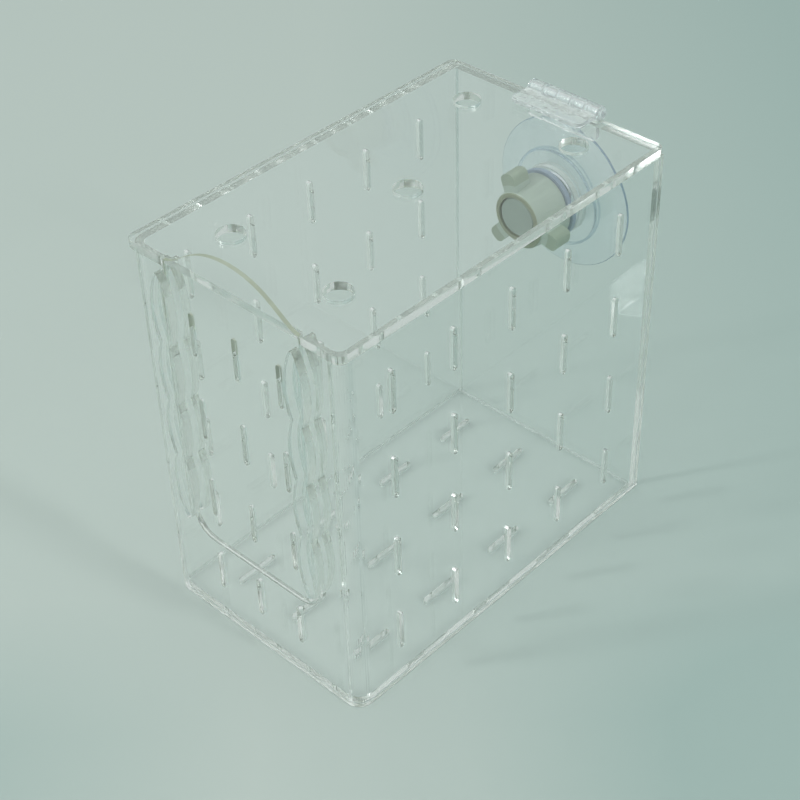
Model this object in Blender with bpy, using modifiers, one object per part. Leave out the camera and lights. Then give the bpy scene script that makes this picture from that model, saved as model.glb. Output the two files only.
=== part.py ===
"""Fish acclimation box: clear sheet box with a sliding front door, a hinged lid and a suction cup mount.

Metres, +Z up. The origin is the middle of the floor's underside, +X is to the right of the door and
+Y points from the door to the back wall that carries the suction cup. The front and both sides are one
sheet with bent corners, and the back wall and the floor panel are glued in between.
"""

import math

import bmesh
import bpy
from mathutils import Vector
from mathutils.geometry import interpolate_bezier

# Box
BOX_WIDTH = 0.093
BOX_DEPTH = 0.1525
BOX_HEIGHT = 0.147
SHEET = 0.003
BEND_RADIUS = 0.006
GLUE_GAP = 0.0003

# Water slots
SLOT_LENGTH = 0.0165
SLOT_WIDTH = 0.002
SLOT_ROWS = 4
LOWEST_SLOT_HEIGHT = 0.0235
HIGHEST_SLOT_DROP = 0.0215
SIDE_COLUMNS = 5
SIDE_SLOT_MARGIN = 0.02125
FRONT_COLUMNS = 3
DOOR_SLOT_MARGIN = 0.0102
FLOOR_COLUMNS = 3
FLOOR_SIDE_MARGIN = 0.019
FLOOR_ROWS = 4
FLOOR_END_MARGIN = 0.02375

# Door
DOOR_SIDE_MARGIN = 0.0168
DOOR_SHEET = 0.0015
DOOR_CLEARANCE = 0.0003
DOOR_SILL_HEIGHT = 0.0364
DOOR_FOOT_RADIUS = 0.008
DOOR_SHOULDER_DROP = 0.001
GRIP_RISE = 0.0115
GRIP_FLARE_SHARE = 0.22
GRIP_CROWN_SHARE = 0.58

# Door rails
RAIL_SHEET = 0.003
RAIL_FOOT_HEIGHT = 0.0433
RAIL_LOBES = 4
LOBE_LENGTH = 0.0337
LOBE_WIDTH = 0.0088
LOBE_TIP_WIDTH = 0.0012
LOBE_STEPS = 9

# Lid
LID_SHEET = 0.003
LID_SIDE_OVERHANG = 0.0005
LID_FRONT_OVERHANG = 0.00025
LID_CORNER_RADIUS = 0.003
LID_NOTCH_RADIUS = 0.001
LID_SEAT_GAP = 0.0003
LID_HOLE_RADIUS = 0.005
LID_HOLE_SIDE_MARGIN = 0.0235
LID_HOLE_FRONT_MARGIN = 0.0232
LID_HOLE_BACK_MARGIN = 0.019

# Hinge
HINGE_LENGTH = 0.030
HINGE_SIDE_SHIFT = 0.004
HINGE_REACH = 0.012
HINGE_LEAF_SHEET = 0.0018
HINGE_CORNER_RADIUS = 0.0015
KNUCKLE_RADIUS = 0.0027
KNUCKLES = 5
KNUCKLE_GAP = 0.0003
KNUCKLE_ROOT = 0.0025
KNUCKLE_ROOT_SHEET = 0.0016
PIN_RADIUS = 0.001
PIN_CLEARANCE = 0.0002
PIN_HEAD_RADIUS = 0.0017
PIN_HEAD_LENGTH = 0.0006

# Suction cup mount
MOUNT_DROP = 0.037
STUD_RADIUS = 0.0076
STUD_CLEARANCE = 0.0003
STUD_REACH = 0.0162
STUD_CHAMFER = 0.0006
STUD_FOOT_RADIUS = 0.0092
STUD_FOOT_LENGTH = 0.0014
STUD_FOOT_DEPTH = 0.0018
CUP_RADIUS = 0.028
CUP_DEPTH = 0.0078
CUP_NECK_RADIUS = 0.0119
CUP_SHOULDER_RADIUS = 0.0173
CUP_SHOULDER_DEPTH = 0.0022
CUP_SHOULDER_STEP = 0.0008
CUP_RIM_LIP = 0.0006
CUP_CROWN = 0.0020
CUP_SKIRT_SHEET = 0.0012
WASHER_RADIUS = 0.0122
WASHER_SHEET = 0.0018
KNOB_LENGTH = 0.0142
KNOB_BASE_RADIUS = 0.0112
KNOB_END_RADIUS = 0.0098
KNOB_END_ROUND = 0.0006
KNOB_LOBES = 3
KNOB_LOBE_ANGLE = math.radians(-10.0)
KNOB_LOBE_REACH = 0.0163
KNOB_LOBE_WIDTH = 0.0060
KNOB_LOBE_ROUND = 0.0022
KNOB_LOBE_SHEET = 0.0076
KNOB_LOBE_START = 0.006

WELD = 0.00001
ROUND_STEPS = 48
DOME_STEPS = 8
HOLE_STEPS = 24
SLOT_END_STEPS = 6
CORNER_STEPS = 5
BEND_STEPS = 10
GRIP_STEPS = 14

# Places that follow from the sizes
WALL_FRONT = -BOX_DEPTH / 2
WALL_BACK = BOX_DEPTH / 2
INNER_WIDTH = BOX_WIDTH - 2 * SHEET
LID_TOP = BOX_HEIGHT + LID_SEAT_GAP + LID_SHEET
DOOR_WIDTH = BOX_WIDTH - 2 * DOOR_SIDE_MARGIN
DOOR_SHOULDER_HEIGHT = LID_TOP - DOOR_SHOULDER_DROP
DOOR_PLANE = WALL_FRONT + DOOR_CLEARANCE + DOOR_SHEET / 2
DOOR_FOOT = DOOR_SILL_HEIGHT + DOOR_CLEARANCE
DOORWAY_HALF = DOOR_WIDTH / 2 + DOOR_CLEARANCE
HINGE_AXIS = Vector((
    HINGE_SIDE_SHIFT,
    WALL_BACK + GLUE_GAP + HINGE_LEAF_SHEET / 2,
    LID_TOP + GLUE_GAP + HINGE_LEAF_SHEET / 2,
))
MOUNT_AXIS = Vector((0, WALL_BACK, BOX_HEIGHT - MOUNT_DROP))
STUD_BORE = STUD_RADIUS + STUD_CLEARANCE
WASHER_START = SHEET + GLUE_GAP
KNOB_START = WASHER_START + WASHER_SHEET + GLUE_GAP

LYING = (0, 0, 0)
FACING_FRONT = (math.pi / 2, 0, 0)
FACING_RIGHT = (math.pi / 2, 0, math.pi / 2)

ACRYLIC = (0.86, 0.90, 0.88)
SOFT_CLEAR = (0.80, 0.86, 0.90)
KNOB_WHITE = (0.80, 0.83, 0.78)
WASHER_BLUE = (0.36, 0.42, 0.50)
STUD_GREY = (0.66, 0.71, 0.72)


def empty_scene():
    for obj in list(bpy.data.objects):
        bpy.data.objects.remove(obj, do_unlink=True)


def collection(name, hidden=False):
    made = bpy.data.collections.new(name)
    made.hide_render = hidden
    bpy.context.scene.collection.children.link(made)
    return made


def plastic(name, colour, roughness, transmission):
    made = bpy.data.materials.new(name)
    made.use_nodes = True
    shader = made.node_tree.nodes["Principled BSDF"]
    shader.inputs["Base Color"].default_value = (*colour, 1)
    shader.inputs["Roughness"].default_value = roughness
    shader.inputs["Metallic"].default_value = 0
    shader.inputs["Transmission Weight"].default_value = transmission
    return made


def as_tool(obj):
    """Moves an object that only cuts or joins another into the collection of cutters."""
    for owner in list(obj.users_collection):
        owner.objects.unlink(obj)
    bpy.data.collections["cutters"].objects.link(obj)
    obj.hide_render = True
    obj.display_type = "WIRE"
    return obj


def combine(obj, tool, operation):
    step = obj.modifiers.new(tool.name, "BOOLEAN")
    step.operation = operation
    step.solver = "EXACT"
    step.object = as_tool(tool)


def arc(centre, radius, start, end, steps):
    """Points along an arc, both ends included."""
    turns = [start + (end - start) * step / steps for step in range(steps + 1)]
    return [(centre[0] + radius * math.cos(a), centre[1] + radius * math.sin(a)) for a in turns]


def circle(centre, radius, steps=HOLE_STEPS):
    return arc(centre, radius, 0, 2 * math.pi, steps)[:-1]


def slot(centre):
    """An upright slot with round ends."""
    radius = SLOT_WIDTH / 2
    reach = SLOT_LENGTH / 2 - radius
    top = arc((centre[0], centre[1] + reach), radius, 0, math.pi, SLOT_END_STEPS)
    foot = arc((centre[0], centre[1] - reach), radius, math.pi, 2 * math.pi, SLOT_END_STEPS)
    return top + foot


def spread(count, first, last):
    """Evenly spaced places from the first to the last, both included."""
    return [first + (last - first) * index / (count - 1) for index in range(count)]


def filleted(corners):
    """Turns corners given as (x, y, radius) into an outline with round corners."""
    outline = []
    for index, (x, y, radius) in enumerate(corners):
        here = Vector((x, y))
        if radius == 0:
            outline.append(here[:])
            continue
        before = (Vector(corners[index - 1][:2]) - here).normalized()
        after = (Vector(corners[(index + 1) % len(corners)][:2]) - here).normalized()
        half = before.angle(after) / 2
        start = here + before * radius / math.tan(half)
        centre = here + (before + after).normalized() * radius / math.sin(half)
        spoke = start - centre
        turn = (math.pi - 2 * half) * math.copysign(1, before.cross(after))
        for step in range(CORNER_STEPS + 1):
            angle = -turn * step / CORNER_STEPS
            swung = Vector((
                spoke.x * math.cos(angle) - spoke.y * math.sin(angle),
                spoke.x * math.sin(angle) + spoke.y * math.cos(angle),
            ))
            outline.append((centre + swung)[:])
    return outline


def placed(name, mesh, material):
    """An object in the model's collection that shows this mesh."""
    mesh.materials.clear()
    mesh.materials.append(material)
    obj = bpy.data.objects.new(name, mesh)
    bpy.data.collections["fish_acclimation_box"].objects.link(obj)
    return obj


def plate(name, outlines, thickness, location, rotation, material):
    """A flat sheet from a 2D curve. An outline that lies inside another one is a hole in it."""
    curve = bpy.data.curves.new(name + "_curve", "CURVE")
    curve.dimensions = "2D"
    curve.fill_mode = "BOTH"
    curve.extrude = thickness / 2
    for outline in outlines:
        spline = curve.splines.new("POLY")
        spline.points.add(len(outline) - 1)
        for point, place in zip(spline.points, outline):
            point.co = (*place, 0, 1)
        spline.use_cyclic_u = True
    drawn = bpy.data.objects.new(name + "_curve", curve)
    bpy.context.scene.collection.objects.link(drawn)
    drawn.location = location
    drawn.rotation_euler = rotation
    bpy.context.view_layer.update()
    ready = drawn.evaluated_get(bpy.context.evaluated_depsgraph_get())
    mesh = bpy.data.meshes.new_from_object(ready)
    mesh.name = name
    edit = bmesh.new()
    edit.from_mesh(mesh)
    bmesh.ops.remove_doubles(edit, verts=edit.verts, dist=WELD)
    bmesh.ops.recalc_face_normals(edit, faces=edit.faces)
    edit.to_mesh(mesh)
    edit.free()
    obj = placed(name, mesh, material)
    obj.matrix_world = drawn.matrix_world
    bpy.data.objects.remove(drawn)
    return obj


def turned(name, profile, location, material, closed=False):
    """A turned piece about the mount's axis. Heights in the profile count towards the inside of the box."""
    mesh = bpy.data.meshes.new(name)
    edit = bmesh.new()
    rings = [edit.verts.new((radius, 0, height)) for radius, height in profile]
    for first, second in zip(rings, rings[1:] + rings[:1] if closed else rings[1:]):
        edit.edges.new((first, second))
    edit.to_mesh(mesh)
    edit.free()
    obj = placed(name, mesh, material)
    obj.location = location
    obj.rotation_euler = FACING_FRONT
    step = obj.modifiers.new("turn", "SCREW")
    step.axis = "Z"
    step.steps = step.render_steps = ROUND_STEPS
    step.use_merge_vertices = True
    step.merge_threshold = WELD
    step.use_smooth_shade = True
    return obj


def slot_heights():
    return spread(SLOT_ROWS, LOWEST_SLOT_HEIGHT, BOX_HEIGHT - HIGHEST_SLOT_DROP)


def side_slots():
    reach = BOX_DEPTH / 2 - SIDE_SLOT_MARGIN
    return [slot((y, z)) for y in spread(SIDE_COLUMNS, -reach, reach) for z in slot_heights()]


def front_slots(rows):
    reach = DOOR_WIDTH / 2 - DOOR_SLOT_MARGIN
    heights = slot_heights()
    return [slot((x, heights[row])) for x in spread(FRONT_COLUMNS, -reach, reach) for row in rows]


def joined(name, plates, material):
    """One closed body from plates that meet at whole edges, without the faces between them."""
    edit = bmesh.new()
    for part in plates:
        part.data.transform(part.matrix_world)
        edit.from_mesh(part.data)
        bpy.data.objects.remove(part)
    bmesh.ops.remove_doubles(edit, verts=edit.verts, dist=WELD)
    between = [face for face in edit.faces if all(len(edge.link_faces) > 2 for edge in face.edges)]
    bmesh.ops.delete(edit, geom=between, context="FACES_ONLY")
    bmesh.ops.recalc_face_normals(edit, faces=edit.faces)
    mesh = bpy.data.meshes.new(name)
    edit.to_mesh(mesh)
    edit.free()
    return placed(name, mesh, material)


def front_sheet(half, material):
    """The flat front with the doorway, which is open at the top, and one row of slots under it."""
    foot = DOOR_FOOT_RADIUS + DOOR_CLEARANCE
    edge = filleted([
        (-half, 0, 0),
        (half, 0, 0),
        (half, BOX_HEIGHT, 0),
        (DOORWAY_HALF, BOX_HEIGHT, 0),
        (DOORWAY_HALF, DOOR_SILL_HEIGHT, foot),
        (-DOORWAY_HALF, DOOR_SILL_HEIGHT, foot),
        (-DOORWAY_HALF, BOX_HEIGHT, 0),
        (-half, BOX_HEIGHT, 0),
    ])
    place = (0, WALL_FRONT + SHEET / 2, 0)
    return plate("front_sheet", [edge] + front_slots([0]), SHEET, place, FACING_FRONT, material)


def wall_wrap(material):
    """One sheet for the front and both sides, bent round the two front corners."""
    half = BOX_WIDTH / 2 - BEND_RADIUS
    start = WALL_FRONT + BEND_RADIUS
    side_edge = [(start, 0), (WALL_BACK, 0), (WALL_BACK, BOX_HEIGHT), (start, BOX_HEIGHT)]
    plates = [front_sheet(half, material)]
    frontwards = -math.pi / 2
    for side, outwards in ((-1, -math.pi), (1, 0)):
        place = (side * (BOX_WIDTH - SHEET) / 2, 0, 0)
        plates.append(plate("side_sheet", [side_edge] + side_slots(), SHEET, place, FACING_RIGHT, material))
        centre = (side * half, start)
        bend = arc(centre, BEND_RADIUS, frontwards, outwards, BEND_STEPS)
        bend += arc(centre, BEND_RADIUS - SHEET, outwards, frontwards, BEND_STEPS)
        plates.append(plate("bend", [bend], BOX_HEIGHT, (0, 0, BOX_HEIGHT / 2), LYING, material))
    return joined("wall_wrap", plates, material)


def back_wall(material):
    half = INNER_WIDTH / 2 - GLUE_GAP
    edge = [(-half, 0), (half, 0), (half, BOX_HEIGHT), (-half, BOX_HEIGHT)]
    hole = circle((MOUNT_AXIS.x, MOUNT_AXIS.z), STUD_BORE, ROUND_STEPS)
    place = (0, WALL_BACK - SHEET / 2, 0)
    return plate("back_wall", [edge, hole], SHEET, place, FACING_FRONT, material)


def floor_panel(material):
    """The floor between the walls, with its front corners round to fit inside the bends."""
    x = INNER_WIDTH / 2 - GLUE_GAP
    y = BOX_DEPTH / 2 - SHEET - GLUE_GAP
    bend = BEND_RADIUS - SHEET - GLUE_GAP
    edge = filleted([(-x, -y, bend), (x, -y, bend), (x, y, 0), (-x, y, 0)])
    side = BOX_WIDTH / 2 - FLOOR_SIDE_MARGIN
    end = BOX_DEPTH / 2 - FLOOR_END_MARGIN
    slots = [
        slot((column, row))
        for column in spread(FLOOR_COLUMNS, -side, side)
        for row in spread(FLOOR_ROWS, -end, end)
    ]
    return plate("floor_panel", [edge] + slots, SHEET, (0, 0, SHEET / 2), LYING, material)


def lid_panel(material):
    x = BOX_WIDTH / 2 + LID_SIDE_OVERHANG
    front = WALL_FRONT - LID_FRONT_OVERHANG
    notch = DOOR_WIDTH / 2 + 2 * DOOR_CLEARANCE
    notch_edge = DOOR_PLANE + DOOR_SHEET / 2 + DOOR_CLEARANCE
    hinge = HINGE_LENGTH / 2 + KNUCKLE_GAP + PIN_HEAD_LENGTH
    hinge_edge = HINGE_AXIS.y - KNUCKLE_RADIUS - KNUCKLE_GAP
    edge = filleted([
        (-x, front, LID_CORNER_RADIUS),
        (-notch, front, LID_NOTCH_RADIUS),
        (-notch, notch_edge, LID_NOTCH_RADIUS),
        (notch, notch_edge, LID_NOTCH_RADIUS),
        (notch, front, LID_NOTCH_RADIUS),
        (x, front, LID_CORNER_RADIUS),
        (x, WALL_BACK, LID_CORNER_RADIUS),
        (HINGE_AXIS.x + hinge, WALL_BACK, 0),
        (HINGE_AXIS.x + hinge, hinge_edge, 0),
        (HINGE_AXIS.x - hinge, hinge_edge, 0),
        (HINGE_AXIS.x - hinge, WALL_BACK, 0),
        (-x, WALL_BACK, LID_CORNER_RADIUS),
    ])
    side = x - LID_HOLE_SIDE_MARGIN
    ends = (front + LID_HOLE_FRONT_MARGIN, WALL_BACK - LID_HOLE_BACK_MARGIN)
    places = [(0, sum(ends) / 2)] + [(x, y) for x in (-side, side) for y in ends]
    holes = [circle(place, LID_HOLE_RADIUS) for place in places]
    return plate("lid_panel", [edge] + holes, LID_SHEET, (0, 0, LID_TOP - LID_SHEET / 2), LYING, material)


def grip_arch(half, shoulder):
    """The arched finger grip, from the right shoulder over the crown to the left one."""
    crown = shoulder + GRIP_RISE
    right = interpolate_bezier(
        (half, shoulder),
        (half * (1 - GRIP_FLARE_SHARE), shoulder),
        (half * GRIP_CROWN_SHARE, crown),
        (0, crown),
        GRIP_STEPS,
    )
    points = [tuple(point) for point in right]
    return points + [(-x, z) for x, z in reversed(points[:-1])]


def door_panel(material):
    half = DOOR_WIDTH / 2
    foot = filleted([
        (-half, DOOR_SHOULDER_HEIGHT, 0),
        (-half, DOOR_FOOT, DOOR_FOOT_RADIUS),
        (half, DOOR_FOOT, DOOR_FOOT_RADIUS),
        (half, DOOR_SHOULDER_HEIGHT, 0),
    ])
    edge = foot[1:-1] + grip_arch(half, DOOR_SHOULDER_HEIGHT)
    rows = range(1, SLOT_ROWS)
    place = (0, DOOR_PLANE, 0)
    return plate("door_panel", [edge] + front_slots(rows), DOOR_SHEET, place, FACING_FRONT, material)


def rail_outline():
    """A chain of long pointed ovals, each made of two arcs, that overlap along the door's edge."""
    half_length = LOBE_LENGTH / 2
    half_width = LOBE_WIDTH / 2
    radius = (half_length ** 2 + half_width ** 2) / (2 * half_width)
    inset = radius - half_width
    first = RAIL_FOOT_HEIGHT + half_length
    last = BOX_HEIGHT - half_length
    pitch = (last - first) / (RAIL_LOBES - 1)
    tip = math.sqrt(radius ** 2 - (inset + LOBE_TIP_WIDTH / 2) ** 2)
    right = []
    for lobe in range(RAIL_LOBES):
        low = -tip if lobe == 0 else -pitch / 2
        high = tip if lobe == RAIL_LOBES - 1 else pitch / 2
        for step in range(LOBE_STEPS + 1):
            if lobe and step == 0:
                continue
            rise = low + (high - low) * step / LOBE_STEPS
            width = math.sqrt(radius ** 2 - rise ** 2) - inset
            right.append((width, first + lobe * pitch + rise))
    return right + [(-x, z) for x, z in reversed(right)]


def rail(name, side, middle, material):
    place = (side * DOOR_WIDTH / 2, middle, 0)
    return plate(name, [rail_outline()], RAIL_SHEET, place, FACING_FRONT, material)


def knuckle_spans(first):
    """Centres and lengths along the pin of every second knuckle, starting with this one."""
    pitch = HINGE_LENGTH / KNUCKLES
    reach = (HINGE_LENGTH - pitch) / 2
    middles = spread(KNUCKLES, HINGE_AXIS.x - reach, HINGE_AXIS.x + reach)
    return [(middle, pitch - KNUCKLE_GAP) for middle in middles[first::2]]


def keyhole():
    """A knuckle's section: a round barrel with its root running down from it."""
    half = KNUCKLE_ROOT_SHEET / 2
    tail = KNUCKLE_RADIUS + KNUCKLE_ROOT
    start = math.asin(half / KNUCKLE_RADIUS) - math.pi / 2
    barrel = arc((0, 0), KNUCKLE_RADIUS, start, math.pi - start, HOLE_STEPS)
    return [(-half, -tail), (half, -tail)] + barrel


def hinge_leaf(name, first, edge, leaf_place, leaf_turn, section, material):
    """A leaf with its share of the knuckles, all bored for the pin."""
    leaf = plate(name, [edge], HINGE_LEAF_SHEET, leaf_place, leaf_turn, material)
    bore = circle((0, 0), PIN_RADIUS + PIN_CLEARANCE, HOLE_STEPS)
    for index, (middle, length) in enumerate(knuckle_spans(first)):
        place = (middle, HINGE_AXIS.y, HINGE_AXIS.z)
        title = f"{name}_knuckle_{index + 1}"
        knuckle = plate(title, [section, bore], length, place, FACING_RIGHT, material)
        combine(leaf, knuckle, "UNION")
    return leaf


def hinge_lid_leaf(material):
    x = HINGE_LENGTH / 2
    front = -HINGE_REACH
    back = -KNUCKLE_RADIUS - KNUCKLE_GAP
    edge = filleted([
        (-x, front, HINGE_CORNER_RADIUS),
        (x, front, HINGE_CORNER_RADIUS),
        (x, back, 0),
        (-x, back, 0),
    ])
    section = [(y, -x) for x, y in keyhole()]
    return hinge_leaf("hinge_lid_leaf", 1, edge, HINGE_AXIS, LYING, section, material)


def hinge_wall_leaf(material):
    x = HINGE_LENGTH / 2
    top = -KNUCKLE_RADIUS - KNUCKLE_GAP
    edge = filleted([
        (-x, -HINGE_REACH, HINGE_CORNER_RADIUS),
        (x, -HINGE_REACH, HINGE_CORNER_RADIUS),
        (x, top, 0),
        (-x, top, 0),
    ])
    return hinge_leaf("hinge_wall_leaf", 0, edge, HINGE_AXIS, FACING_FRONT, keyhole(), material)


def hinge_pin(material):
    """The pin, with a low head at each end beyond the outer knuckles."""
    reach = HINGE_LENGTH / 2 + KNUCKLE_GAP
    end = reach + PIN_HEAD_LENGTH
    profile = [
        (0, end), (PIN_HEAD_RADIUS, end), (PIN_HEAD_RADIUS, reach), (PIN_RADIUS, reach),
        (PIN_RADIUS, -reach), (PIN_HEAD_RADIUS, -reach), (PIN_HEAD_RADIUS, -end), (0, -end),
    ]
    pin = turned("hinge_pin", profile, HINGE_AXIS, material)
    pin.rotation_euler = (0, math.pi / 2, 0)
    pin.modifiers["turn"].steps = pin.modifiers["turn"].render_steps = HOLE_STEPS
    return pin


def dome(start, end, bulge, steps=DOME_STEPS):
    """Points of a gentle curve from start to end, bulging towards the box."""
    low, high = Vector(start), Vector(end)
    lift = Vector((0, bulge))
    return [
        tuple(low.lerp(high, step / steps) + lift * math.sin(math.pi * step / steps))
        for step in range(steps + 1)
    ]


def suction_cup(material):
    """A soft cup: neck against the wall, flat shoulder with a step, domed skirt and a hollow face."""
    socket_foot = -GLUE_GAP - STUD_FOOT_DEPTH - STUD_FOOT_LENGTH - STUD_CLEARANCE
    socket_roof = -GLUE_GAP - STUD_FOOT_DEPTH + STUD_CLEARANCE
    socket = STUD_FOOT_RADIUS + STUD_CLEARANCE
    rim = -CUP_DEPTH
    step_foot = -CUP_SHOULDER_DEPTH - CUP_SHOULDER_STEP
    outside = dome((CUP_SHOULDER_RADIUS, step_foot), (CUP_RADIUS, rim + CUP_RIM_LIP), CUP_SKIRT_SHEET)
    hollow_top = socket_foot - CUP_CROWN
    inside = dome((CUP_RADIUS - CUP_RIM_LIP, rim), (0, hollow_top), CUP_SKIRT_SHEET)
    profile = [
        (0, socket_foot),
        (socket, socket_foot),
        (socket, socket_roof),
        (STUD_BORE, socket_roof),
        (STUD_BORE, -GLUE_GAP),
        (CUP_NECK_RADIUS, -GLUE_GAP),
        (CUP_NECK_RADIUS, -CUP_SHOULDER_DEPTH),
        (CUP_SHOULDER_RADIUS, -CUP_SHOULDER_DEPTH),
        *outside,
        (CUP_RADIUS, rim),
        *inside,
    ]
    return turned("suction_cup", profile, MOUNT_AXIS, material)


def cup_stud(material):
    """The stud with the foot that is moulded into the cup's neck."""
    end = SHEET + STUD_REACH
    roof = -GLUE_GAP - STUD_FOOT_DEPTH
    foot = roof - STUD_FOOT_LENGTH
    profile = [
        (0, end),
        (STUD_RADIUS - STUD_CHAMFER, end),
        (STUD_RADIUS, end - STUD_CHAMFER),
        (STUD_RADIUS, roof),
        (STUD_FOOT_RADIUS, roof),
        (STUD_FOOT_RADIUS, foot),
        (0, foot),
    ]
    return turned("cup_stud", profile, MOUNT_AXIS, material)


def sealing_washer(material):
    end = WASHER_START + WASHER_SHEET
    profile = [
        (WASHER_RADIUS, end),
        (WASHER_RADIUS, WASHER_START),
        (STUD_BORE, WASHER_START),
        (STUD_BORE, end),
    ]
    return turned("sealing_washer", profile, MOUNT_AXIS, material, closed=True)


def knob_star(hub):
    """Three stub wings on a thin ring, seen along the knob's axis."""
    corners = []
    half = KNOB_LOBE_WIDTH / 2
    root = math.sqrt(hub ** 2 - half ** 2)
    spread = math.asin(half / hub)
    pitch = 2 * math.pi / KNOB_LOBES
    for lobe in range(KNOB_LOBES):
        angle = KNOB_LOBE_ANGLE + pitch * lobe
        along = Vector((math.cos(angle), math.sin(angle)))
        across = Vector((-math.sin(angle), math.cos(angle)))
        for out, side, radius in (
            (root, -half, 0),
            (KNOB_LOBE_REACH, -half, KNOB_LOBE_ROUND),
            (KNOB_LOBE_REACH, half, KNOB_LOBE_ROUND),
        ):
            corners.append((*(along * out + across * side), radius))
        ring = arc((0, 0), hub, angle + spread, angle + pitch - spread, CORNER_STEPS)
        corners.extend((x, y, 0) for x, y in ring[:-1])
    return filleted(corners)


def knob_nut(material):
    """A tapered bored boss with three stub wings."""
    end = KNOB_START + KNOB_LENGTH
    profile = [
        (STUD_BORE, end),
        (KNOB_END_RADIUS - KNOB_END_ROUND, end),
        (KNOB_END_RADIUS, end - KNOB_END_ROUND),
        (KNOB_BASE_RADIUS, KNOB_START),
        (STUD_BORE, KNOB_START),
    ]
    knob = turned("knob_nut", profile, MOUNT_AXIS, material, closed=True)
    middle = KNOB_START + KNOB_LOBE_START + KNOB_LOBE_SHEET / 2
    place = MOUNT_AXIS + Vector((0, -middle, 0))
    third = (KNOB_END_RADIUS - STUD_BORE) / 3
    hollow = circle((0, 0), STUD_BORE + third, ROUND_STEPS)
    star = knob_star(KNOB_END_RADIUS - third)
    wings = plate("knob_wings", [star, hollow], KNOB_LOBE_SHEET, place, FACING_FRONT, material)
    combine(knob, wings, "UNION")
    return knob


def carry(name, place, children):
    """An empty on a joint's axis, with the pieces that move about it."""
    axis = bpy.data.objects.new(name, None)
    axis.location = place
    axis.empty_display_size = KNUCKLE_RADIUS
    bpy.data.collections["fish_acclimation_box"].objects.link(axis)
    for child in children:
        child.parent = axis
        child.location = child.location - axis.location


def main():
    empty_scene()
    collection("fish_acclimation_box")
    collection("cutters", hidden=True)
    clear = plastic("clear_acrylic", ACRYLIC, 0.03, 0.95)
    door_clear = plastic("door_acrylic", ACRYLIC, 0.05, 0.95)
    hinge_clear = plastic("hinge_plastic", ACRYLIC, 0.06, 0.9)
    soft = plastic("soft_pvc", SOFT_CLEAR, 0.12, 0.9)
    knob_plastic = plastic("knob_plastic", KNOB_WHITE, 0.45, 0.35)
    stud_plastic = plastic("stud_plastic", STUD_GREY, 0.35, 0.4)
    rubber = plastic("washer_rubber", WASHER_BLUE, 0.5, 0)

    wall_wrap(clear)
    back_wall(clear)
    floor_panel(clear)

    outer = WALL_FRONT - GLUE_GAP - RAIL_SHEET / 2
    inner = WALL_FRONT + SHEET + GLUE_GAP + RAIL_SHEET / 2
    rail("outer_rail_left", -1, outer, clear)
    rail("outer_rail_right", 1, outer, clear)
    rail("inner_rail_left", -1, inner, clear)
    rail("inner_rail_right", 1, inner, clear)

    hinge_wall_leaf(hinge_clear)
    hinge_pin(hinge_clear)
    carry("lid_axis", HINGE_AXIS, [lid_panel(clear), hinge_lid_leaf(hinge_clear)])
    carry("door_slide", (0, DOOR_PLANE, DOOR_FOOT), [door_panel(door_clear)])

    suction_cup(soft)
    cup_stud(stud_plastic)
    carry("knob_axis", MOUNT_AXIS, [sealing_washer(rubber), knob_nut(knob_plastic)])


main()
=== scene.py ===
"""Fish acclimation box: the clear sheets, the hinge and the suction cup mount on a pale table."""

import bpy
from mathutils import Matrix, Vector


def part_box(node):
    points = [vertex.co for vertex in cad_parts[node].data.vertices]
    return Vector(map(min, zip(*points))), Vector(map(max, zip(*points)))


bl_info = {
    "name": "Fish Acclimation Box",
    "version": (1, 0, 0),
    "blender": (4, 5, 0),
    "location": "View3D > Sidebar > Acclimation Box",
    "description": "Dresses the acclimation box with clear acrylic and moulded plastic on a stage",
    "category": "Object",
}

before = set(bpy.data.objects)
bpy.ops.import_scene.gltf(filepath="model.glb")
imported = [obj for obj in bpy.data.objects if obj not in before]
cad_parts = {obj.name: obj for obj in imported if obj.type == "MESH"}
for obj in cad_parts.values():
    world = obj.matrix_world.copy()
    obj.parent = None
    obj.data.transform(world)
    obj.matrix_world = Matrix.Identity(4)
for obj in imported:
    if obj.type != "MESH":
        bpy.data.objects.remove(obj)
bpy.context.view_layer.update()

# Clear materials
ACRYLIC_INDEX = 1.49
PVC_INDEX = 1.53
HINGE_INDEX = 1.6
PLASTIC_SHADE = (0.93, 0.95, 0.96)
SHEET_GRAIN_SCALE = 900.0
MOULD_GRAIN_SCALE = 250.0
CLOUD_SCALE = 120.0
FINE_GRAIN_SCALE = 2600.0
MILKY_EDGE_ROUGHNESS = 0.4
MILKY_MOULD_ROUGHNESS = 0.25

# Sheets by the axis that they are square to, and where the bent sheet and the grip change
FLAT_SHEETS = ("floor_panel", "lid_panel")
UPRIGHT_SHEETS = (
    "back_wall", "outer_rail_left", "outer_rail_right", "inner_rail_left", "inner_rail_right",
)
HINGE_PIECES = ("hinge_wall_leaf", "hinge_lid_leaf", "hinge_pin")
BEND_RADIUS = 0.006
GRIP_HEIGHT = 0.128

# Rings round the mount's axis: inner radius, outer radius, colour, and how milky the cup is there
MOUNT_HEIGHT = 0.110
# The dark ring at the outermost radius is painted shade along the cup's rim, and the whitish ring
# at the neck is a painted highlight; the middle ring is a paler blue band
CUP_RINGS_WITH_PAINTED_LIGHT = (
    (0.0277, 0.0285, (0.20, 0.30, 0.42), 0.5),
    (0.0170, 0.0178, (0.55, 0.68, 0.78), 0.3),
    (0.0112, 0.0122, (0.80, 0.84, 0.80), 0.5),
)
LOBE_START = 0.0122
LOBE_END = 0.02
KNOB_MOUTH_RING = (0.0066, 0.0095, (0.30, 0.34, 0.22))

# Table, from its middle to its far corners
TABLE_REACH = 6.0
TABLE_HEIGHT = -0.0002
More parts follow.
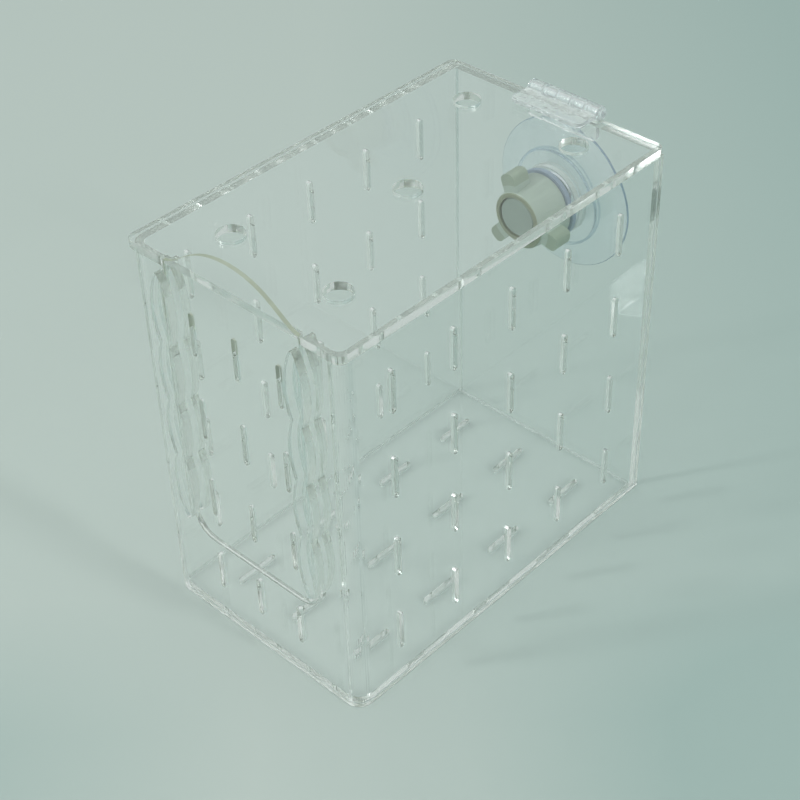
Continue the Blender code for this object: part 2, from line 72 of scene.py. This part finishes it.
# Shares of the floor colour that the table keeps where its painted shade is darkest
TABLE_PAINTED_SHADE_SHARES = (0.70, 0.81, 0.81)
TABLE_CLOUD_SCALE = 6.0
TABLE_CLOUD_COLOUR = (0.4, 0.47, 0.44, 1)
TABLE_CLOUD_SHARE = 0.04
TABLE_ROUGHNESS = 0.6

# Light from all round, by the height that it comes from, and the two lamps
SKY_STOPS = [
    (0.0, (0.20, 0.23, 0.23, 1)),
    (0.15, (0.25, 0.29, 0.285, 1)),
    (0.45, (0.71, 0.78, 0.765, 1)),
    (1.0, (0.93, 1, 0.985, 1)),
]
TABLE_HORIZON = 0.06
RIGHT_LAMP_PLACE = (2.0, 0.18, 1.35)
LEFT_LAMP_PLACE = (-1.2, -1.85, 1.45)
LEFT_LAMP_SHARE = 1.45
LAMP_TARGET = (0, 0, 0.05)
LAMP_SIZE = 0.24
LAMP_COLOUR = (0.95, 1.0, 0.985)

# The camera's turn: its right, up and back directions in the box's frame
CAMERA_RIGHT = (0.72896, 0.68410, -0.02508)
CAMERA_UP = (-0.41775, 0.47357, 0.77538)
CAMERA_BACK = (0.54231, -0.55474, 0.63100)
CAMERA_REACH = (0.01, 50.0)
SENSOR_WIDTH = 36.0
PATH_BOUNCES = 48


class Wire:
    """A shader socket that takes part in plain Python sums."""

    def __init__(self, shader, socket):
        self.shader = shader
        self.socket = socket

    def sum_with(self, operation, *values):
        return self.shader.add("ShaderNodeMath", {"operation": operation}, *values)

    def __add__(self, other):
        return self.sum_with("ADD", self, other)

    def __radd__(self, other):
        return self.sum_with("ADD", other, self)

    def __sub__(self, other):
        return self.sum_with("SUBTRACT", self, other)

    def __rsub__(self, other):
        return self.sum_with("SUBTRACT", other, self)

    def __mul__(self, other):
        return self.sum_with("MULTIPLY", self, other)

    def __rmul__(self, other):
        return self.sum_with("MULTIPLY", other, self)

    def __gt__(self, other):
        return self.sum_with("GREATER_THAN", self, other)

    def __lt__(self, other):
        return self.sum_with("LESS_THAN", self, other)

    def __abs__(self):
        return self.sum_with("ABSOLUTE", self)

    def most(self, other):
        return self.sum_with("MAXIMUM", self, other)


class Shader:
    """A material or world tree, written one node at a time."""

    def __init__(self, tree):
        self.tree = tree
        tree.nodes.clear()

    def add(self, kind, settings=None, *values, out=0, **named):
        """Adds a node, sets it up, fills its sockets in order and by name, and gives one output."""
        node = self.tree.nodes.new(kind)
        for key, value in (settings or {}).items():
            if key == "stops":
                ramp = node.color_ramp
                while len(ramp.elements) < len(value):
                    ramp.elements.new(1.0)
                for element, (place, colour) in zip(ramp.elements, value):
                    element.position = place
                    element.color = colour
            else:
                setattr(node, key, value)
        for socket, value in zip(node.inputs, values):
            self.fill(socket, value)
        for name, value in named.items():
            self.fill(node.inputs[name.replace("_", " ")], value)
        return Wire(self, node.outputs[out])

    def fill(self, socket, value):
        if isinstance(value, Wire):
            self.tree.links.new(value.socket, socket)
        elif value is not None:
            socket.default_value = value

    def object_place(self):
        return self.add("ShaderNodeTexCoord", out="Object")

    def split(self, vector):
        node = self.tree.nodes.new("ShaderNodeSeparateXYZ")
        self.fill(node.inputs[0], vector)
        return [Wire(self, output) for output in node.outputs]

    def noise(self, place, scale, detail):
        return self.add("ShaderNodeTexNoise", Vector=place, Scale=scale, Detail=detail)

    def between(self, value, low, high, start=0.0, end=1.0):
        """Maps a value from low..high onto start..end and holds it there."""
        return self.add("ShaderNodeMapRange", {"clamp": True}, value, low, high, start, end)

    def mix_colour(self, share, first, second):
        node = self.tree.nodes.new("ShaderNodeMix")
        node.data_type = "RGBA"
        self.fill(node.inputs["Factor"], share)
        self.fill(node.inputs[6], first)
        self.fill(node.inputs[7], second)
        return Wire(self, node.outputs[2])

    def bump(self, height, strength, distance):
        return self.add(
            "ShaderNodeBump", out="Normal", Strength=strength, Distance=distance, Height=height
        )

    def ring(self, place, inner, outer):
        """Mask of the ring between two radii round the mount's axis."""
        x, _, z = self.split(place)
        high = z - MOUNT_HEIGHT
        radius = self.add("ShaderNodeMath", {"operation": "SQRT"}, x * x + high * high)
        return (radius > inner) * (radius < outer)

    def principled(self, **named):
        return self.add("ShaderNodeBsdfPrincipled", **named)

    def blend(self, share, first, second):
        return self.add("ShaderNodeMixShader", {}, share, first, second)

    def light_rays(self, *kinds):
        """Says, for each kind of ray, whether the light is on one."""
        path = self.tree.nodes.new("ShaderNodeLightPath")
        return [Wire(self, path.outputs[f"Is {kind} Ray"]) for kind in kinds]

    def lets_lamps_through(self, solid, shade):
        """Glass for the eye, and a clear tint for the light that falls through it."""
        shadow, diffuse = self.light_rays("Shadow", "Diffuse")
        clear = self.add("ShaderNodeBsdfTransparent", Color=rgb(shade))
        return self.blend(shadow.most(diffuse), solid, clear)

    def finish(self, surface, output_kind="ShaderNodeOutputMaterial"):
        output = self.tree.nodes.new(output_kind)
        self.tree.links.new(surface.socket, output.inputs["Surface"])


def rgb(colour):
    return (*colour[:3], 1.0)


def new_material(name):
    made = bpy.data.materials.new(name)
    made.use_nodes = True
    return made, Shader(made.node_tree)


def dress(nodes, material):
    """Gives CAD nodes their finish."""
    for node in nodes:
        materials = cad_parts[node].data.materials
        materials.clear()
        materials.append(material)


def add_object(name, data):
    obj = bpy.data.objects.new(name, data)
    bpy.context.scene.collection.objects.link(obj)
    return obj


def colour_setting(name, about, default):
    return bpy.props.FloatVectorProperty(
        name=name, description=about, subtype="COLOR", size=3, min=0.0, max=1.0, default=default
    )


def number_setting(name, about, default, low=0.0, high=1.0, subtype="FACTOR"):
    return bpy.props.FloatProperty(
        name=name, description=about, default=default, min=low, max=high, subtype=subtype
    )


class AcrylicSettings(bpy.types.PropertyGroup):
    """Finish of the clear cast sheets"""

    tint: colour_setting("Tint", "Colour that the clear sheet takes on", (0.996, 1.0, 0.998))
    shade: colour_setting(
        "Shade", "Tint of the light that falls through one face of a sheet", (0.996, 0.998, 0.997)
    )
    edge_shade: colour_setting(
        "Edge shade", "Tint of the light that falls through a cut edge", (0.55, 0.57, 0.57)
    )
    face_roughness: number_setting("Face roughness", "Roughness of the cast faces", 0.0)
    edge_roughness: number_setting("Edge roughness", "Roughness of the cut edges", 0.08)
    milky: colour_setting(
        "Milky edge", "Colour of the light that a cut edge scatters", (0.62, 0.67, 0.58)
    )
    milky_share: number_setting("Milky share", "How much of a cut edge is milky", 0.15)
    grip: colour_setting("Grip", "Colour of the door's sawn grip", (0.46, 0.50, 0.39))
    grip_share: number_setting(
        "Grip milky share", "How much of the door's sawn grip is milky", 0.8
    )


class MountSettings(bpy.types.PropertyGroup):
    """Colours of the suction cup mount"""

    cup: colour_setting("Cup", "Colour of the soft clear cup", (0.90, 0.95, 0.985))
    knob: colour_setting("Knob", "Colour of the moulded knob", (0.54, 0.64, 0.55))
    # The lobes' darker colour is painted shade on the knob's thin lobes
    lobe_with_painted_shade: colour_setting("Lobe", "Colour of the knob's thin lobes", (0.39, 0.47, 0.36))
    washer: colour_setting("Washer", "Colour of the rubber washer", (0.30, 0.37, 0.45))
    stud: colour_setting("Stud", "Colour of the stud's end", (0.30, 0.37, 0.32))


class StageSettings(bpy.types.PropertyGroup):
    """Table, light and camera"""

    floor: colour_setting("Floor", "Colour of the table", (0.53, 0.59, 0.555))
    distance: colour_setting(
        "Distance", "Colour of what is seen beyond the table", (0.36, 0.47, 0.45)
    )
    sky: number_setting("Sky", "Strength of the light from all round", 0.83, 0.0, 10.0, "NONE")
    key: number_setting("Key", "Power of the right lamp, in watts", 12.5, 0.0, 1000.0, "NONE")
    lens: number_setting(
        "Lens", "Focal length of the camera, in millimetres", 76.86, 10.0, 300.0, "NONE"
    )
    camera: bpy.props.FloatVectorProperty(
        name="Camera", description="Place of the camera", subtype="TRANSLATION", unit="LENGTH",
        size=3, default=(0.3231, -0.3353, 0.4426),
    )


def cut_edges(s, axis):
    """Mask of the faces that aren't square to the sheet's axis."""
    facing = s.split(s.add("ShaderNodeTexCoord", out="Normal"))
    return abs(facing["XYZ".index(axis)]) < 0.5


def wrap_cut_edges(s):
    """The same for the bent sheet, whose axis turns at the two front corners."""
    low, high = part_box("wall_wrap")
    x, y, _ = s.split(s.object_place())
    on_front = abs(x) < high[0] - BEND_RADIUS
    on_side = y > low[1] + BEND_RADIUS
    ends = 1 - cut_edges(s, "Z")
    return ends.most(on_front * cut_edges(s, "Y")).most(on_side * cut_edges(s, "X"))


def sheet_acrylic(name, find_edges, settings, grip_height=None):
    """Clear cast sheet with glossy faces and milky cut edges, milkier above the grip's height."""
    made, s = new_material(name)
    edge = find_edges(s)
    place = s.object_place()
    grain = s.noise(place, SHEET_GRAIN_SCALE, 3.0)
    edge_rough = settings.edge_roughness * 0.6 + grain * settings.edge_roughness * 0.8
    clear = s.principled(
        Base_Color=rgb(settings.tint),
        Roughness=edge * edge_rough + settings.face_roughness,
        IOR=ACRYLIC_INDEX,
        Transmission_Weight=1.0,
    )
    share = edge * settings.milky_share
    body = rgb(settings.milky)
    if grip_height:
        on_grip = s.split(place)[2] > grip_height
        share = share + edge * on_grip * (settings.grip_share - settings.milky_share)
        body = s.mix_colour(on_grip, body, rgb(settings.grip))
    milky = s.principled(Base_Color=body, Roughness=MILKY_EDGE_ROUGHNESS)
    solid = s.blend(share, clear, milky)
    s.finish(s.blend(
        edge,
        s.lets_lamps_through(solid, settings.shade),
        s.lets_lamps_through(solid, settings.edge_shade),
    ))
    return made


def clear_plastic(name, colour, roughness, index, wave_scale, wave_depth, milky, rings=()):
    """Clear moulded plastic, slightly wavy and milky, with rings round the mount's axis; the cup's
    rings paint shade at its rim and a highlight at its neck.
    """
    made, s = new_material(name)
    place = s.object_place()
    grain = s.noise(place, MOULD_GRAIN_SCALE, 2.0)
    waves = s.bump(s.noise(place, wave_scale, 2.0), 1.0, wave_depth)
    body = rgb(colour)
    share = grain * milky * 2.0
    for inner, outer, ring_colour, ring_share in rings:
        ring = s.ring(place, inner, outer)
        body = s.mix_colour(ring, body, rgb(ring_colour))
        share = share.most(ring * ring_share)
    solid = s.principled(
        Base_Color=body,
        Roughness=roughness * 0.7 + grain * roughness * 0.6,
        IOR=index,
        Transmission_Weight=1.0,
        Normal=waves,
    )
    scattering = s.principled(Base_Color=body, Roughness=MILKY_MOULD_ROUGHNESS, Normal=waves)
    s.finish(s.lets_lamps_through(s.blend(share, solid, scattering), PLASTIC_SHADE))
    return made


def frosted_plastic(name, colour, roughness, through, rings=()):
    """Milky moulded plastic with a fine surface, uneven colour and rings round the mount's axis;
    the knob's rings paint shade on its lobes.
    """
    made, s = new_material(name)
    place = s.object_place()
    cloud = s.noise(place, CLOUD_SCALE, 3.0)
    body = s.mix_colour(cloud, rgb([part * 0.9 for part in colour]), rgb(colour))
    for inner, outer, ring_colour in rings:
        body = s.mix_colour(s.ring(place, inner, outer), body, rgb(ring_colour))
    s.finish(s.principled(
        Base_Color=body,
        Roughness=s.between(cloud, 0.3, 0.7, roughness * 0.85, roughness * 1.15),
        IOR=ACRYLIC_INDEX,
        Transmission_Weight=through,
        Normal=s.bump(s.noise(place, FINE_GRAIN_SCALE, 2.0), 0.08, 0.0001),
    ))
    return made


class ACCLIMATION_OT_sheets(bpy.types.Operator):
    """Gives the walls, the floor, the rails, the lid and the door their clear acrylic"""

    bl_idname = "acclimation.sheets"
    bl_label = "Clear sheets"

    def execute(self, context):
        settings = context.scene.acclimation_acrylic

        def level_edges(s):
            return cut_edges(s, "Z")

        def upright_edges(s):
            return cut_edges(s, "Y")

        dress(["wall_wrap"], sheet_acrylic("clear_acrylic_wrap", wrap_cut_edges, settings))
        dress(FLAT_SHEETS, sheet_acrylic("clear_acrylic_flat", level_edges, settings))
        dress(UPRIGHT_SHEETS, sheet_acrylic("clear_acrylic_upright", upright_edges, settings))
        dress(["door_panel"], sheet_acrylic("door_acrylic", upright_edges, settings, GRIP_HEIGHT))
        return {"FINISHED"}


class ACCLIMATION_OT_hinge(bpy.types.Operator):
    """Gives the moulded hinge and its pin their clear plastic"""

    bl_idname = "acclimation.hinge"
    bl_label = "Hinge"

    def execute(self, context):
        tint = context.scene.acclimation_acrylic.tint
        plastic = clear_plastic("hinge_plastic", tint, 0.03, HINGE_INDEX, 260.0, 0.0004, 0.10)
        dress(HINGE_PIECES, plastic)
        return {"FINISHED"}


class ACCLIMATION_OT_mount(bpy.types.Operator):
    """Gives the suction cup, its stud, the washer and the knob their finishes"""

    bl_idname = "acclimation.mount"
    bl_label = "Suction cup mount"

    def execute(self, context):
        settings = context.scene.acclimation_mount
        cup = settings.cup
        # The lobe ring paints shade on the knob's lobes
        knob_rings_with_painted_shade = ((LOBE_START, LOBE_END, settings.lobe_with_painted_shade), KNOB_MOUTH_RING)
        pvc = clear_plastic("soft_pvc", cup, 0.04, PVC_INDEX, 90.0, 0.0006, 0.03, CUP_RINGS_WITH_PAINTED_LIGHT)
        dress(["suction_cup"], pvc)
        dress(["cup_stud"], frosted_plastic("stud_plastic", settings.stud, 0.4, 0.0))
        dress(["sealing_washer"], frosted_plastic("washer_rubber", settings.washer, 0.5, 0.0))
        dress(["knob_nut"], frosted_plastic("knob_plastic", settings.knob, 0.35, 0.25, knob_rings_with_painted_shade))
        return {"FINISHED"}


def lay_table(settings):
    """Lays the table, with painted shade: a little darker the further it lies from the lamps and
    towards its corners closest to the camera.
    """
    mesh = bpy.data.meshes.new("table")
    turns = ((-1, -1), (1, -1), (1, 1), (-1, 1))
    corners = [(x * TABLE_REACH, y * TABLE_REACH, TABLE_HEIGHT) for x, y in turns]
    mesh.from_pydata(corners, [], [(0, 1, 2, 3)])
    made, s = new_material("table_top")
    place = s.object_place()
    x, y, _ = s.split(place)
    # Painted shade: the table's colour darkens towards the camera's right and towards its two
    # corners closest to the camera, where the light falls off
    near_corner_painted_shade = s.between(x - y, 0.04, 0.13) * s.between(abs(x + y + 0.03), 0.05, 0.17)
    painted_shade = s.between(x * 0.73 + y * 0.68, -0.05, 0.21) + near_corner_painted_shade * 0.6
    painted_shade_colour = [part * share for part, share in zip(settings.floor, TABLE_PAINTED_SHADE_SHARES)]
    body = s.mix_colour(painted_shade, rgb(settings.floor), rgb(painted_shade_colour))
    cloud = s.between(s.noise(place, TABLE_CLOUD_SCALE, 3.0), 0.3, 0.7, 0.0, TABLE_CLOUD_SHARE)
    clouded = s.mix_colour(cloud, body, TABLE_CLOUD_COLOUR)
    s.finish(s.principled(Base_Color=clouded, Roughness=TABLE_ROUGHNESS))
    mesh.materials.append(made)
    table = add_object("table", mesh)


def light_world(settings):
    """Lights the box from all round, and shows a plain colour beyond the table."""
    world = bpy.data.worlds.new("room")
    bpy.context.scene.world = world
    world.use_nodes = True
    s = Shader(world.node_tree)
    up = s.split(s.add("ShaderNodeTexCoord", out="Generated"))[2]
    ramp = s.add("ShaderNodeValToRGB", {"stops": SKY_STOPS}, up, out="Color")
    light = s.add("ShaderNodeBackground", Color=ramp, Strength=settings.sky)
    distance = s.add("ShaderNodeBackground", Color=rgb(settings.distance), Strength=1.0)
    camera, through = s.light_rays("Camera", "Transmission")
    seen = camera.most(through * (up < TABLE_HORIZON))
    s.finish(s.blend(seen, light, distance), "ShaderNodeOutputWorld")


def soft_lamp(name, place, watts):
    """Sets a square lamp that faces the box."""
    light = bpy.data.lights.new(name, "AREA")
    light.shape = "RECTANGLE"
    light.size = light.size_y = LAMP_SIZE
    light.energy = watts
    light.color = LAMP_COLOUR
    obj = add_object(name, light)
    obj.location = place
    towards = Vector(LAMP_TARGET) - Vector(place)
    obj.rotation_euler = towards.to_track_quat("-Z", "Y").to_euler()


def set_camera(settings):
    """Sets the camera where the photograph was taken from."""
    camera = bpy.data.cameras.new("camera")
    camera.lens = settings.lens
    camera.sensor_width = SENSOR_WIDTH
    camera.clip_start, camera.clip_end = CAMERA_REACH
    obj = add_object("camera", camera)
    turn = Matrix((CAMERA_RIGHT, CAMERA_UP, CAMERA_BACK)).transposed().to_4x4()
    obj.matrix_world = Matrix.Translation(settings.camera) @ turn
    bpy.context.scene.camera = obj


class ACCLIMATION_OT_stage(bpy.types.Operator):
    """Lays the table and sets the lamps and the camera"""

    bl_idname = "acclimation.stage"
    bl_label = "Stage"

    def execute(self, context):
        settings = context.scene.acclimation_stage
        lay_table(settings)
        light_world(settings)
        soft_lamp("right_lamp", RIGHT_LAMP_PLACE, settings.key)
        soft_lamp("left_lamp", LEFT_LAMP_PLACE, settings.key * LEFT_LAMP_SHARE)
        set_camera(settings)
        context.scene.view_settings.view_transform = "Standard"
        paths = context.scene.cycles
        paths.max_bounces = paths.glossy_bounces = paths.transmission_bounces = PATH_BOUNCES
        paths.transparent_max_bounces = PATH_BOUNCES
        return {"FINISHED"}


class ACCLIMATION_PT_panel(bpy.types.Panel):
    """Lists the settings and the steps that dress the box"""

    bl_idname = "ACCLIMATION_PT_panel"
    bl_label = "Acclimation Box"
    bl_space_type = "VIEW_3D"
    bl_region_type = "UI"
    bl_category = "Acclimation Box"

    def draw(self, context):
        for group in SETTINGS:
            settings = getattr(context.scene, group)
            for name in settings.__annotations__:
                self.layout.prop(settings, name)
        for step in STEPS:
            self.layout.operator(step.bl_idname)


STEPS = (ACCLIMATION_OT_sheets, ACCLIMATION_OT_hinge, ACCLIMATION_OT_mount, ACCLIMATION_OT_stage)
SETTINGS = {
    "acclimation_acrylic": AcrylicSettings,
    "acclimation_mount": MountSettings,
    "acclimation_stage": StageSettings,
}


def register():
    for kind in (*SETTINGS.values(), *STEPS, ACCLIMATION_PT_panel):
        bpy.utils.register_class(kind)
    for name, kind in SETTINGS.items():
        setattr(bpy.types.Scene, name, bpy.props.PointerProperty(type=kind))


def unregister():
    for name in SETTINGS:
        delattr(bpy.types.Scene, name)
    for kind in (ACCLIMATION_PT_panel, *STEPS, *SETTINGS.values()):
        bpy.utils.unregister_class(kind)


def main():
    register()
    bpy.ops.acclimation.sheets()
    bpy.ops.acclimation.hinge()
    bpy.ops.acclimation.mount()
    bpy.ops.acclimation.stage()


if __name__ == "__main__":
    main()
